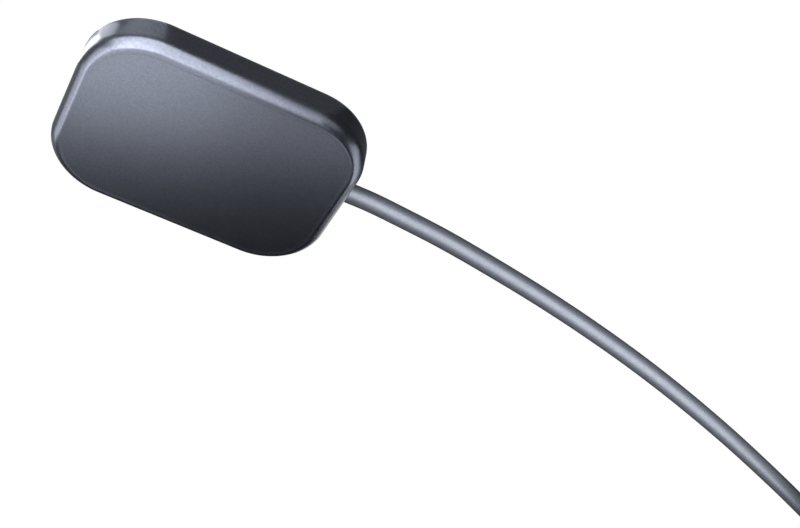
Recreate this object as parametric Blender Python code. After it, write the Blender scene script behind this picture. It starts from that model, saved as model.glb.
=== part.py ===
"""Intraoral x-ray sensor with its lead, lying face up.

Lengths are in metres and +Z is up. The sensor's outline is centred on the origin, its lead leaves
towards +X, and it rests on the flat hump of its back at z = 0. The lead lies on the same surface,
is wound in a coil further out, and ends in a flat computer plug beside the coil.
"""

import math

import bmesh
import bpy
from mathutils import Vector

MM = 0.001

# Sensor body, as it shows in the photograph
BODY_LENGTH = 42.0 * MM
BODY_WIDTH = 32.3 * MM
BODY_DEPTH = 5.9 * MM
CORNER_RADIUS = 9.8 * MM
FACE_EDGE_ACROSS = 2.4 * MM
FACE_EDGE_DOWN = 2.1 * MM
BACK_EDGE = 1.3 * MM

# Walls of the tub and its closing plate, and the clearances between parts
FACE_WALL = 0.7 * MM
RIM = 0.2 * MM
LEDGE = 0.6 * MM
COVER_THICKNESS = 0.8 * MM
SEAL_THICKNESS = 0.25 * MM
FIT = 0.05 * MM
INSERT_FIT = 0.1 * MM

# Hump on the back, by its distances from the body's sides and ends
HUMP_FROM_LEAD_END = 2.7 * MM
HUMP_FROM_FAR_END = 9.0 * MM
HUMP_FROM_SIDE = 5.4 * MM
HUMP_RADIUS = 6.0 * MM
HUMP_EDGE = 0.8 * MM
HUMP_WALL = 1.2 * MM
HUMP_FLOOR = 0.7 * MM

# Lead and its way into the body
LEAD_DIAMETER = 3.1 * MM
LEAD_FLOOR = 0.85 * MM
LEAD_ROOM = 0.15 * MM
NOSE_WALL = 0.5 * MM
NOSE_EDGE = 0.6 * MM
GROMMET_WALL = 0.35 * MM
GROMMET_LENGTH = 1.9 * MM
ANCHOR_LENGTH = 2.3 * MM
ANCHOR_SHOULDER = 1.45 * MM

# Layers between the face and the electronics, from the face down
FOAM_THICKNESS = 0.4 * MM
SCINTILLATOR_THICKNESS = 0.5 * MM
FIBRE_THICKNESS = 0.9 * MM
CHIP_THICKNESS = 0.45 * MM
CARRIER_THICKNESS = 0.5 * MM
SHIELD_THICKNESS = 0.25 * MM
BOARD_THICKNESS = 0.6 * MM

# Margins of the layers in the tub
STACK_FIT = 0.2 * MM
FRAME_END_WALL = 1.3 * MM
FRAME_SIDE_WALL = 1.1 * MM
FRAME_CORNER_WALL = 1.2 * MM
CHIP_INSET = 0.3 * MM
LAYER_MARGIN = 0.9 * MM
SHIELD_FROM_LEAD = 0.5 * MM
BOARD_FROM_ANCHOR = 0.9 * MM
BOARD_MARGIN = 0.4 * MM

# Parts on the board: name, x and y from the board's middle, length, width, height
PROCESSOR_SIDE = 7.0 * MM
BOARD_PARTS = (
    ("processor_chip", -3.0 * MM, 0.0, PROCESSOR_SIDE, PROCESSOR_SIDE, 1.2 * MM),
    ("memory_chip", 3.1 * MM, 2.3 * MM, 5.0 * MM, 4.0 * MM, 1.0 * MM),
    ("clock_crystal", -3.0 * MM, 5.1 * MM, 3.2 * MM, 2.5 * MM, 0.8 * MM),
    ("voltage_regulator", 2.6 * MM, -2.1 * MM, 3.0 * MM, 3.0 * MM, 0.9 * MM),
)
CAPACITOR_SIZE = (0.8 * MM, 1.6 * MM, 0.8 * MM)
CAPACITOR_PLACES = (
    (-7.5 * MM, -2.4 * MM),
    (-7.5 * MM, 0.0),
    (-7.5 * MM, 2.4 * MM),
    (4.9 * MM, -2.1 * MM),
)
PAD_INSET = 0.3 * MM

# Wires: name, side of the bundle in y and z, and place in the row of pads
WIRE_DIAMETER = 0.6 * MM
WIRE_GAP = 0.14 * MM
WIRE_PAD_PITCH = 1.6 * MM
WIRE_PAD_FROM_END = 2.4 * MM
WIRE_BEND = 1.2 * MM
WIRES = (
    ("wire_red", -1, 1, -1.5),
    ("wire_black", -1, -1, -0.5),
    ("wire_green", 1, -1, 0.5),
    ("wire_white", 1, 1, 1.5),
)

# Coil of the lead that the photograph doesn't show
COIL_CENTRE = (150.3 * MM, -13.6 * MM)
COIL_RADIUS = 18.0 * MM
COIL_TURNS_ACROSS = 4
COIL_TURNS_HIGH = 4
TURN_GAP = 0.1 * MM
TIE_THICKNESS = 0.5 * MM
TIE_ANGLE = math.radians(120.0)
TIE_SPREAD = math.radians(24.0)

# Plug, measured along its own axis from the back of its relief
PLUG_PLACE = (182.5 * MM, -17.0 * MM)
RELIEF_LENGTH = 9.0 * MM
RELIEF_WALL_BACK = 0.75 * MM
RELIEF_WALL_FRONT = 1.35 * MM
RELIEF_RIBS = 5
RELIEF_GROOVE = 0.35 * MM
GRIP_LENGTH = 24.0 * MM
GRIP_WALL_SIDE = 1.8 * MM
GRIP_WALL_FLAT = 1.65 * MM
GRIP_CORNER = 2.2 * MM
GRIP_TAPER_LENGTH = 4.0 * MM
GRIP_TAPER_SIDE = 3.2 * MM
GRIP_TAPER_FLAT = 0.9 * MM
GRIP_EDGE = 0.5 * MM
SHELL_LENGTH = 18.75 * MM
SHELL_WIDTH = 12.0 * MM
SHELL_HEIGHT = 4.5 * MM
SHELL_WALL = 0.3 * MM
SHELL_CORNER = 0.5 * MM
SHELL_INSERTED = 4.0 * MM
WINDOW_SIDE = 2.3 * MM
WINDOW_FROM_MOUTH = 6.4 * MM
WINDOW_SPACING = 5.4 * MM
TONGUE_THICKNESS = 1.84 * MM
TONGUE_FROM_MOUTH = 0.5 * MM
BLOCK_FROM_MOUTH = 11.8 * MM
CONTACT_WIDTH = 1.0 * MM
CONTACT_THICKNESS = 0.2 * MM
CONTACT_FROM_TIP = 1.2 * MM
CONTACTS = (
    (-3.5 * MM, 7.4 * MM),
    (-1.0 * MM, 6.4 * MM),
    (1.0 * MM, 6.4 * MM),
    (3.5 * MM, 7.4 * MM),
)

# Fineness of round shapes
CORNER_STEPS = 12
EDGE_STEPS = 5
SMOOTH_ANGLE = math.radians(35.0)

# Heights: the lead lies just over the floor, the layers are stacked over it, and the face closes
# them, so that the hump is as high as the lead needs
LEAD_RADIUS = LEAD_DIAMETER / 2
LEAD_Z = LEAD_FLOOR + LEAD_RADIUS
CARRIER_Z = LEAD_Z + LEAD_RADIUS + LEAD_ROOM
STACK_THICKNESSES = (
    FOAM_THICKNESS,
    SCINTILLATOR_THICKNESS,
    FIBRE_THICKNESS,
    CHIP_THICKNESS,
    CARRIER_THICKNESS,
)
FACE_Z = CARRIER_Z + sum(thickness + FIT for thickness in STACK_THICKNESSES) + FACE_WALL
SHIELD_Z = CARRIER_Z - FIT - SHIELD_THICKNESS
BOARD_Z = SHIELD_Z - FIT - BOARD_THICKNESS
BACK_Z = FACE_Z - BODY_DEPTH
COVER_TOP_Z = BACK_Z + COVER_THICKNESS
LEDGE_Z = COVER_TOP_Z + SEAL_THICKNESS + 2 * FIT

# Outlines in the tub, each by its distance from the body's outline
OPENING_INSET = BACK_EDGE + RIM
CAVITY_INSET = OPENING_INSET + LEDGE
STACK_INSET = CAVITY_INSET + STACK_FIT
LAYER_INSET = CAVITY_INSET + LAYER_MARGIN

# Places along the body, from the lead's end inwards
END_X = BODY_LENGTH / 2
CAVITY_END_X = END_X - CAVITY_INSET
HUMP_END_X = END_X - HUMP_FROM_LEAD_END
HUMP_FAR_X = -END_X + HUMP_FROM_FAR_END
LEAD_START_X = HUMP_END_X - HUMP_WALL
ANCHOR_END_X = LEAD_START_X - INSERT_FIT
BOARD_END_X = ANCHOR_END_X - ANCHOR_LENGTH - BOARD_FROM_ANCHOR
POCKET_END_X = BOARD_END_X + BOARD_MARGIN
POCKET_FAR_X = HUMP_FAR_X + HUMP_WALL
BOARD_FAR_X = POCKET_FAR_X + BOARD_MARGIN
BOARD_MIDDLE_X = (BOARD_FAR_X + BOARD_END_X) / 2
WIRE_PAD_X = BOARD_END_X - WIRE_PAD_FROM_END

# Widths
HUMP_WIDTH = BODY_WIDTH - 2 * HUMP_FROM_SIDE
POCKET_WIDTH = HUMP_WIDTH - 2 * HUMP_WALL
POCKET_RADIUS = HUMP_RADIUS - HUMP_WALL
GROMMET_RADIUS = LEAD_RADIUS + FIT + GROMMET_WALL
NOSE_HALF_WIDTH = GROMMET_RADIUS + FIT + NOSE_WALL
ANCHOR_WIDTH = LEAD_DIAMETER + 2 * ANCHOR_SHOULDER
WIRE_SPREAD = (WIRE_DIAMETER + WIRE_GAP) / 2
ANCHOR_BORE_RADIUS = math.hypot(WIRE_SPREAD, WIRE_SPREAD) + WIRE_DIAMETER / 2 + INSERT_FIT

# Plates in the frame, whose cut corners leave the frame its wall inside the tub's round corner
FRAME_SPACE_LENGTH = BODY_LENGTH - 2 * (STACK_INSET + FRAME_END_WALL)
FRAME_SPACE_WIDTH = BODY_WIDTH - 2 * (STACK_INSET + FRAME_SIDE_WALL)
FRAME_SPACE_CUT = (
    (2 - math.sqrt(2)) * (CORNER_RADIUS - STACK_INSET)
    + math.sqrt(2) * FRAME_CORNER_WALL
    - FRAME_END_WALL
    - FRAME_SIDE_WALL
)
PLATE_LENGTH = FRAME_SPACE_LENGTH - 2 * INSERT_FIT
PLATE_WIDTH = FRAME_SPACE_WIDTH - 2 * INSERT_FIT

# Sizes of the coil and the plug that follow from the lead and the shell
TURN_PITCH = LEAD_DIAMETER + TURN_GAP
COIL_HALF_ACROSS = ((COIL_TURNS_ACROSS - 1) * TURN_PITCH + LEAD_DIAMETER) / 2 + FIT
COIL_HALF_HIGH = ((COIL_TURNS_HIGH - 1) * TURN_PITCH + LEAD_DIAMETER) / 2 + FIT
COIL_CORNER = LEAD_RADIUS + FIT
COIL_OUTER_RADIUS = COIL_RADIUS + COIL_HALF_ACROSS
COIL_Z = TIE_THICKNESS + FIT + COIL_HALF_HIGH
GRIP_WIDTH = SHELL_WIDTH + 2 * GRIP_WALL_SIDE
GRIP_THICKNESS = SHELL_HEIGHT + 2 * GRIP_WALL_FLAT
PLUG_Z = GRIP_THICKNESS / 2

# Route of the lead from inside the hump's wall to the coil's outer turn
ROUTE = (
    (LEAD_START_X, 0.0, LEAD_Z),
    (END_X, 0.0, LEAD_Z),
    (25.5 * MM, 0.0, 2.35 * MM),
    (31.0 * MM, -0.6 * MM, 2.12 * MM),
    (38.7 * MM, -1.7 * MM, 1.75 * MM),
    (47.8 * MM, -3.3 * MM, LEAD_RADIUS),
    (57.5 * MM, -5.1 * MM, LEAD_RADIUS),
    (67.6 * MM, -7.4 * MM, LEAD_RADIUS),
    (78.7 * MM, -10.4 * MM, LEAD_RADIUS),
    (90.5 * MM, -14.2 * MM, LEAD_RADIUS),
    (103.8 * MM, -19.1 * MM, LEAD_RADIUS),
    (118.5 * MM, -25.2 * MM, LEAD_RADIUS),
    (129.0 * MM, -29.9 * MM, LEAD_RADIUS),
    (136.0 * MM, -32.7 * MM, 1.65 * MM),
    (142.5 * MM, -35.0 * MM, 2.15 * MM),
)

# Route from the coil's outer turn to the plug
TAIL = (
    (150.3 * MM, -36.4 * MM, 11.75 * MM),
    (157.0 * MM, -36.5 * MM, 11.6 * MM),
    (164.5 * MM, -36.3 * MM, 10.4 * MM),
    (171.6 * MM, -35.3 * MM, 8.4 * MM),
    (177.2 * MM, -32.2 * MM, 6.3 * MM),
    (181.0 * MM, -27.4 * MM, 4.7 * MM),
    (182.4 * MM, -21.8 * MM, 3.95 * MM),
    (PLUG_PLACE[0], PLUG_PLACE[1], PLUG_Z),
    (PLUG_PLACE[0], PLUG_PLACE[1] + RELIEF_LENGTH - INSERT_FIT, PLUG_Z),
)
ROUTE_STEP = 2.2 * LEAD_DIAMETER
TAIL_STEP = 1.1 * LEAD_DIAMETER
ROUTE_FINENESS = 50
WIRE_STEP = 1.2 * WIRE_DIAMETER


def clear_scene():
    for obj in list(bpy.data.objects):
        bpy.data.objects.remove(obj, do_unlink=True)


def material(name, colour, roughness, metallic=0.0):
    made = bpy.data.materials.new(name)
    made.use_nodes = True
    shader = made.node_tree.nodes["Principled BSDF"]
    shader.inputs["Base Color"].default_value = (*colour, 1.0)
    shader.inputs["Roughness"].default_value = roughness
    shader.inputs["Metallic"].default_value = metallic
    return made


def rounded_rectangle(length, width, radius, centre=(0.0, 0.0), steps=CORNER_STEPS):
    """Outline points, counter-clockwise, with each corner an arc."""
    points = []
    for quarter, (side_x, side_y) in enumerate(((1, 1), (-1, 1), (-1, -1), (1, -1))):
        middle_x = centre[0] + side_x * (length / 2 - radius)
        middle_y = centre[1] + side_y * (width / 2 - radius)
        for k in range(steps + 1):
            angle = (quarter + k / steps) * math.pi / 2
            points.append((middle_x + radius * math.cos(angle), middle_y + radius * math.sin(angle)))
    return points


def rounded_between(low_x, high_x, width, radius, steps=CORNER_STEPS):
    """Rounded rectangle between two places along X, centred across."""
    return rounded_rectangle(high_x - low_x, width, radius, ((low_x + high_x) / 2, 0.0), steps)


def cut_rectangle(length, width, cut):
    """Outline of a rectangle whose corners are cut off at 45 degrees."""
    x = length / 2
    y = width / 2
    return [
        (x, -y + cut),
        (x, y - cut),
        (x - cut, y),
        (-x + cut, y),
        (-x, y - cut),
        (-x, -y + cut),
        (-x + cut, -y),
        (x - cut, -y),
    ]


def circle(radius, steps, centre=(0.0, 0.0)):
    angles = [2 * math.pi * k / steps for k in range(steps)]
    return [(centre[0] + radius * math.cos(a), centre[1] + radius * math.sin(a)) for a in angles]


def loft(name, rings, mat, closed=False):
    """Solid through rings of equal point counts, capped at both ends or closed on itself."""
    bm = bmesh.new()
    rows = [[bm.verts.new(point) for point in ring] for ring in rings]
    pairs = list(zip(rows, rows[1:]))
    if closed:
        pairs.append((rows[-1], rows[0]))
    else:
        bm.faces.new(rows[0][::-1])
        bm.faces.new(rows[-1])
    for low, high in pairs:
        for i in range(len(low)):
            j = (i + 1) % len(low)
            bm.faces.new((low[i], low[j], high[j], high[i]))
    bmesh.ops.recalc_face_normals(bm, faces=bm.faces)
    mesh = bpy.data.meshes.new(name)
    bm.to_mesh(mesh)
    bm.free()
    mesh.shade_smooth()
    mesh.set_sharp_from_angle(angle=SMOOTH_ANGLE)
    mesh.materials.append(mat)
    obj = bpy.data.objects.new(name, mesh)
    bpy.context.collection.objects.link(obj)
    return obj


def slab(name, outline, bottom, top, mat):
    return loft(name, [[(x, y, z) for x, y in outline] for z in (bottom, top)], mat)


def block(name, low, high, mat):
    outline = [(low[0], low[1]), (high[0], low[1]), (high[0], high[1]), (low[0], high[1])]
    return slab(name, outline, low[2], high[2], mat)


def bar(name, sections, mat):
    """Solid along X through outlines in y and z, given as (x, outline) pairs."""
    return loft(name, [[(x, y, z) for y, z in outline] for x, outline in sections], mat)


def turned(name, section, mat, steps=32):
    """Solid turned about the object's Z from a closed section of (radius, z) points."""
    angles = [2 * math.pi * k / steps for k in range(steps)]
    rings = [[(r * math.cos(a), r * math.sin(a), z) for r, z in section] for a in angles]
    return loft(name, rings, mat, closed=True)


def shape_with(obj, tool, operation):
    tool.hide_render = True
    tool.display_type = "WIRE"
    change = obj.modifiers.new(tool.name, "BOOLEAN")
    change.operation = operation
    change.solver = "EXACT"
    change.object = tool


def smooth_points(route, step):
    """Points about a step apart on a smooth curve through the route's points."""
    knots = [Vector(point) for point in route]
    knots = [2 * knots[0] - knots[1], *knots, 2 * knots[-1] - knots[-2]]
    fine = []
    for before, start, end, after in zip(knots, knots[1:], knots[2:], knots[3:]):
        for k in range(20):
            t = k / 20
            fine.append(
                0.5
                * (
                    2 * start
                    + (end - before) * t
                    + (2 * before - 5 * start + 4 * end - after) * t**2
                    + (3 * start - before - 3 * end + after) * t**3
                )
            )
    fine.append(knots[-2])
    lengths = [0.0]
    for a, b in zip(fine, fine[1:]):
        lengths.append(lengths[-1] + (b - a).length)
    count = max(2, round(lengths[-1] / step))
    points = []
    i = 0
    for k in range(count + 1):
        wanted = lengths[-1] * k / count
        while i < len(fine) - 2 and lengths[i + 1] < wanted:
            i += 1
        share = (wanted - lengths[i]) / (lengths[i + 1] - lengths[i])
        points.append(fine[i].lerp(fine[i + 1], share))
    return points


def tube(name, points, diameter, mat, fineness):
    """Round lead or wire along the points, as a curve with filled ends."""
    curve = bpy.data.curves.new(name, "CURVE")
    curve.dimensions = "3D"
    curve.bevel_depth = diameter / 2
    curve.bevel_resolution = fineness
    curve.use_fill_caps = True
    spline = curve.splines.new("POLY")
    spline.points.add(len(points) - 1)
    for place, point in zip(spline.points, points):
        place.co = (*point, 1.0)
    curve.materials.append(mat)
    obj = bpy.data.objects.new(name, curve)
    bpy.context.collection.objects.link(obj)
    return obj


def body_outline(inset):
    """Outline of the body, drawn in by an inset all round."""
    return rounded_rectangle(
        BODY_LENGTH - 2 * inset, BODY_WIDTH - 2 * inset, CORNER_RADIUS - inset
    )


def body_rings(profile):
    """One ring for each inset and height of a profile."""
    return [[(x, y, z) for x, y in body_outline(inset)] for inset, z in profile]


def quarter_turn():
    """Sine and cosine of evenly spaced angles from 0 to 90 degrees."""
    angles = [k / EDGE_STEPS * math.pi / 2 for k in range(EDGE_STEPS + 1)]
    return [(math.sin(angle), math.cos(angle)) for angle in angles]


def nose_outline(half_width):
    """Upright outline in y and z: an arch about the lead's axis over two rounded feet."""
    points = []
    for k in range(2 * CORNER_STEPS + 1):
        angle = math.pi * k / (2 * CORNER_STEPS)
        points.append((half_width * math.cos(angle), LEAD_Z + half_width * math.sin(angle)))
    foot = half_width - NOSE_EDGE
    for sine, cosine in quarter_turn():
        points.append((-foot - NOSE_EDGE * cosine, NOSE_EDGE * (1 - sine)))
    for sine, cosine in quarter_turn():
        points.append((foot + NOSE_EDGE * sine, NOSE_EDGE * (1 - cosine)))
    return points


def lead_bore(name, radius, low_x, high_x, mat, steps=32):
    """Round tool along the lead's axis."""
    outline = circle(radius, steps, (0.0, LEAD_Z))
    return bar(name, [(low_x, outline), (high_x, outline)], mat)


def make_housing(mat):
    """Tub with the face, side walls, back edge, ledge for the cover and a notch for the nose."""
    profile = []
    for sine, cosine in quarter_turn():
        profile.append((FACE_EDGE_ACROSS * (1 - sine), FACE_Z - FACE_EDGE_DOWN * (1 - cosine)))
    for sine, cosine in quarter_turn():
        profile.append((BACK_EDGE * (1 - cosine), BACK_Z + BACK_EDGE * (1 - sine)))
    profile += [
        (OPENING_INSET, BACK_Z),
        (OPENING_INSET, LEDGE_Z),
        (CAVITY_INSET, LEDGE_Z),
        (CAVITY_INSET, FACE_Z - FACE_WALL),
    ]
    housing = loft("housing", body_rings(profile), mat)
    notch = nose_outline(NOSE_HALF_WIDTH + INSERT_FIT)
    tool = bar("notch_tool", [(CAVITY_END_X - LEDGE, notch), (END_X + LEDGE, notch)], mat)
    shape_with(housing, tool, "DIFFERENCE")


def make_rear_cover(mat):
    """Plate with the hump and the nose, hollowed for the board, the anchor and the lead."""
    inset = OPENING_INSET + FIT
    cover = slab("rear_cover", body_outline(inset), BACK_Z, COVER_TOP_Z, mat)
    rings = []
    for sine, cosine in quarter_turn():
        draw_in = HUMP_EDGE * (1 - sine)
        outline = rounded_between(
            HUMP_FAR_X + draw_in, HUMP_END_X - draw_in, HUMP_WIDTH - 2 * draw_in, HUMP_RADIUS - draw_in
        )
        rings.append([(x, y, HUMP_EDGE * (1 - cosine)) for x, y in outline])
    middle_z = (BACK_Z + COVER_TOP_Z) / 2
    rings.append([(x, y, middle_z) for x, y, _ in rings[-1]])
    hump = loft("hump_tool", rings, mat)
    nose_shape = nose_outline(NOSE_HALF_WIDTH)
    nose = bar("nose_tool", [(HUMP_END_X - HUMP_EDGE, nose_shape), (END_X, nose_shape)], mat)
    headroom = block(
        "headroom_tool",
        (LEAD_START_X, -2 * NOSE_HALF_WIDTH, COVER_TOP_Z),
        (CAVITY_END_X - FIT, 2 * NOSE_HALF_WIDTH, FACE_Z),
        mat,
    )
    pocket_outline = rounded_between(
        POCKET_FAR_X, POCKET_END_X, POCKET_WIDTH, POCKET_RADIUS, EDGE_STEPS
    )
    pocket = slab("pocket_tool", pocket_outline, HUMP_FLOOR, LEDGE_Z, mat)
    half = ANCHOR_WIDTH / 2 + INSERT_FIT
    seat = block(
        "anchor_seat_tool", (BOARD_END_X, -half, HUMP_FLOOR), (LEAD_START_X, half, LEDGE_Z), mat
    )
    bore_radius = LEAD_RADIUS + INSERT_FIT
    bore = lead_bore("bore_tool", bore_radius, LEAD_START_X - LEDGE, END_X, mat)
    mouth_start_x = END_X - GROMMET_LENGTH - FIT
    mouth = lead_bore("mouth_tool", GROMMET_RADIUS + FIT, mouth_start_x, END_X + LEDGE, mat)
    for tool in (hump, nose):
        shape_with(cover, tool, "UNION")
    for tool in (headroom, pocket, seat, bore, mouth):
        shape_with(cover, tool, "DIFFERENCE")


def make_cover_seal(mat):
    """Flat gasket under the ledge, open where the nose crosses it."""
    bottom = COVER_TOP_Z + FIT
    top = bottom + SEAL_THICKNESS
    outer = OPENING_INSET + INSERT_FIT
    profile = ((outer, bottom), (outer, top), (CAVITY_INSET, top), (CAVITY_INSET, bottom))
    seal = loft("cover_seal", body_rings(profile), mat, closed=True)
    half = NOSE_HALF_WIDTH + INSERT_FIT
    tool = block("seal_tool", (CAVITY_END_X - LEDGE, -half, BACK_Z), (END_X, half, LEDGE_Z + LEDGE), mat)
    shape_with(seal, tool, "DIFFERENCE")


def make_grommet(mat):
    inner = LEAD_RADIUS + FIT
    section = [
        (inner, 0.0),
        (GROMMET_RADIUS, 0.0),
        (GROMMET_RADIUS, GROMMET_LENGTH),
        (inner, GROMMET_LENGTH),
    ]
    grommet = turned("cord_grommet", section, mat)
    grommet.location = (END_X - GROMMET_LENGTH, 0.0, LEAD_Z)
    grommet.rotation_euler = (0.0, math.pi / 2, 0.0)


def make_anchor(mat):
    """Block on the jacket's end, bored for the wires and held by the hump's end wall."""
    half = ANCHOR_WIDTH / 2
    low_x = ANCHOR_END_X - ANCHOR_LENGTH
    anchor = block(
        "cord_anchor",
        (low_x, -half, HUMP_FLOOR + FIT),
        (ANCHOR_END_X, half, SHIELD_Z - FIT),
        mat,
    )
    tool = lead_bore("anchor_tool", ANCHOR_BORE_RADIUS, low_x - LEDGE, ANCHOR_END_X + LEDGE, mat, 24)
    shape_with(anchor, tool, "DIFFERENCE")


def make_layers(mats):
    """Foam, plates, chip, carrier, shield and board, each a fit gap under the one before."""
    plate_cut = FRAME_SPACE_CUT
    plate = cut_rectangle(PLATE_LENGTH, PLATE_WIDTH, plate_cut)
    chip = cut_rectangle(
        PLATE_LENGTH - 2 * CHIP_INSET, PLATE_WIDTH - 2 * CHIP_INSET, plate_cut - CHIP_INSET
    )
    shield = rounded_between(
        -END_X + LAYER_INSET,
        LEAD_START_X - SHIELD_FROM_LEAD,
        BODY_WIDTH - 2 * LAYER_INSET,
        CORNER_RADIUS - LAYER_INSET,
    )
    board = rounded_between(
        BOARD_FAR_X, BOARD_END_X, POCKET_WIDTH - 2 * BOARD_MARGIN, POCKET_RADIUS - BOARD_MARGIN
    )
    layers = (
        ("front_foam", body_outline(LAYER_INSET), FOAM_THICKNESS),
        ("scintillator", plate, SCINTILLATOR_THICKNESS),
        ("fibre_optic_plate", plate, FIBRE_THICKNESS),
        ("image_sensor", chip, CHIP_THICKNESS),
        ("sensor_carrier", body_outline(STACK_INSET), CARRIER_THICKNESS),
        ("radiation_shield", shield, SHIELD_THICKNESS),
        ("circuit_board", board, BOARD_THICKNESS),
    )
    top = FACE_Z - FACE_WALL - FIT
    heights = {}
    for name, outline, thickness in layers:
        slab(name, outline, top - thickness, top, mats[name])
        heights[name] = (top - thickness, top)
        top -= thickness + FIT
    frame_mat = mats["stack_frame"]
    frame_bottom = heights["image_sensor"][0]
    frame_top = heights["scintillator"][1]
    frame = slab("stack_frame", body_outline(STACK_INSET), frame_bottom, frame_top, frame_mat)
    space = cut_rectangle(FRAME_SPACE_LENGTH, FRAME_SPACE_WIDTH, FRAME_SPACE_CUT)
    tool = slab("frame_tool", space, BACK_Z, FACE_Z, frame_mat)
    shape_with(frame, tool, "DIFFERENCE")


def make_board_parts(mats):
    """Everything soldered to the board's lower side, and the soft pad under the processor."""
    top = BOARD_Z - FIT
    length, width, height = CAPACITOR_SIZE
    parts = [(name, name, *rest) for name, *rest in BOARD_PARTS]
    for number, (x, y) in enumerate(CAPACITOR_PLACES, start=1):
        parts.append((f"capacitor_{number}", "capacitor", x, y, length, width, height))
    for name, mat_name, x, y, length, width, height in parts:
        x += BOARD_MIDDLE_X
        low = (x - length / 2, y - width / 2, top - height)
        block(name, low, (x + length / 2, y + width / 2, top), mats[mat_name])
    _, x, y, _, _, height = BOARD_PARTS[0]
    x += BOARD_MIDDLE_X
    half = PROCESSOR_SIDE / 2 - PAD_INSET
    low = (x - half, y - half, HUMP_FLOOR + FIT)
    block("thermal_pad", low, (x + half, y + half, top - height - FIT), mats["thermal_pad"])


def make_wires(mats):
    """Four wires from the jacket's end through the anchor, fanned out to their pads."""
    inner_x = ANCHOR_END_X - ANCHOR_LENGTH
    for name, side_y, side_z, place in WIRES:
        y = side_y * WIRE_SPREAD
        z = LEAD_Z + side_z * WIRE_SPREAD
        pad_y = place * WIRE_PAD_PITCH
        bend_x = WIRE_PAD_X + WIRE_BEND
        low_z = LEAD_Z - 2 * WIRE_SPREAD
        route = (
            (ANCHOR_END_X, y, z),
            (inner_x, y, z),
            ((inner_x + bend_x) / 2, (y + pad_y) / 2, (z + low_z) / 2),
            (bend_x, pad_y, low_z),
            (WIRE_PAD_X, pad_y, LEAD_Z),
            (WIRE_PAD_X, pad_y, BOARD_Z - FIT),
        )
        tube(name, smooth_points(route, WIRE_STEP), WIRE_DIAMETER, mats[name], 1)


def make_leads(mat):
    """Lead up to where it meets the coil, and from the coil to the plug."""
    middle = Vector(COIL_CENTRE)
    reach = COIL_OUTER_RADIUS + LEAD_RADIUS + FIT
    for name, route, step in (("sensor_cable", ROUTE, ROUTE_STEP), ("plug_lead", TAIL, TAIL_STEP)):
        fine = smooth_points(route, step / ROUTE_FINENESS)
        clear = [point for point in fine if (point.xy - middle).length > reach]
        last = len(clear) - 1
        count = round(last / ROUTE_FINENESS)
        tube(name, [clear[round(last * k / count)] for k in range(count + 1)], LEAD_DIAMETER, mat, 2)


def make_coil(mat):
    """The wound turns as one turned ring of their outer shape."""
    section = rounded_rectangle(
        2 * COIL_HALF_ACROSS, 2 * COIL_HALF_HIGH, COIL_CORNER, (COIL_RADIUS, COIL_Z), 3
    )
    coil = turned("cable_coil", section, mat, 64)
    coil.location = (*COIL_CENTRE, 0.0)


def tie_rings(half_across, half_high, corner, spread):
    section = rounded_rectangle(
        2 * half_across, 2 * half_high, corner, (COIL_RADIUS, COIL_Z), EDGE_STEPS
    )
    rings = []
    for k in range(7):
        angle = TIE_ANGLE + (k / 6 - 0.5) * spread
        along_x = math.cos(angle)
        along_y = math.sin(angle)
        rings.append([(COIL_CENTRE[0] + r * along_x, COIL_CENTRE[1] + r * along_y, z) for r, z in section])
    return rings


def make_tie(mat):
    """Band round the bundle of turns."""
    inner = (COIL_HALF_ACROSS + FIT, COIL_HALF_HIGH + FIT, COIL_CORNER)
    outer = [size + TIE_THICKNESS for size in inner]
    tie = loft("coil_tie", tie_rings(*outer, TIE_SPREAD), mat)
    tool = loft("tie_tool", tie_rings(*inner, 1.5 * TIE_SPREAD), mat)
    shape_with(tie, tool, "DIFFERENCE")


def put_on_plug(obj, plug):
    obj.parent = plug
    return obj


def make_relief(plug, mat):
    """Ribbed sleeve round the lead, wider towards the grip."""
    inner = LEAD_RADIUS + FIT
    back = LEAD_RADIUS + RELIEF_WALL_BACK
    front = LEAD_RADIUS + RELIEF_WALL_FRONT
    rib = RELIEF_LENGTH / RELIEF_RIBS
    section = [(inner, 0.0)]
    for k in range(RELIEF_RIBS):
        low = back + (front - back) * k / RELIEF_RIBS
        high = back + (front - back) * (k + 1) / RELIEF_RIBS
        section += [
            (low, k * rib),
            (high, (k + 0.65) * rib),
            (high - RELIEF_GROOVE, (k + 0.7) * rib),
            (high - RELIEF_GROOVE, (k + 0.95) * rib),
        ]
    section += [(front, RELIEF_LENGTH), (inner, RELIEF_LENGTH)]
    relief = turned("plug_relief", section, mat)
    relief.rotation_euler = (0.0, math.pi / 2, 0.0)
    put_on_plug(relief, plug)


def make_grip(plug, back, front, mat):
    """Moulded body, drawn in towards the lead and rounded at its front edge."""
    insets = []
    for k, (sine, _) in enumerate(quarter_turn()):
        x = back + GRIP_TAPER_LENGTH * k / EDGE_STEPS
        insets.append((x, GRIP_TAPER_SIDE * (1 - sine), GRIP_TAPER_FLAT * (1 - sine)))
    for sine, cosine in quarter_turn():
        inset = GRIP_EDGE * (1 - cosine)
        insets.append((front - GRIP_EDGE * (1 - sine), inset, inset))
    sections = []
    for x, side, flat in insets:
        outline = rounded_rectangle(
            GRIP_WIDTH - 2 * side, GRIP_THICKNESS - 2 * flat, GRIP_CORNER, (0.0, 0.0), EDGE_STEPS
        )
        sections.append((x, outline))
    grip = put_on_plug(bar("plug_grip", sections, mat), plug)
    hole = rounded_rectangle(
        SHELL_WIDTH + 2 * INSERT_FIT,
        SHELL_HEIGHT + 2 * INSERT_FIT,
        SHELL_CORNER + INSERT_FIT,
        (0.0, 0.0),
        EDGE_STEPS,
    )
    hole_ends = [(front - SHELL_INSERTED - INSERT_FIT, hole), (front + SHELL_INSERTED, hole)]
    shape_with(grip, put_on_plug(bar("grip_tool", hole_ends, mat), plug), "DIFFERENCE")


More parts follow.
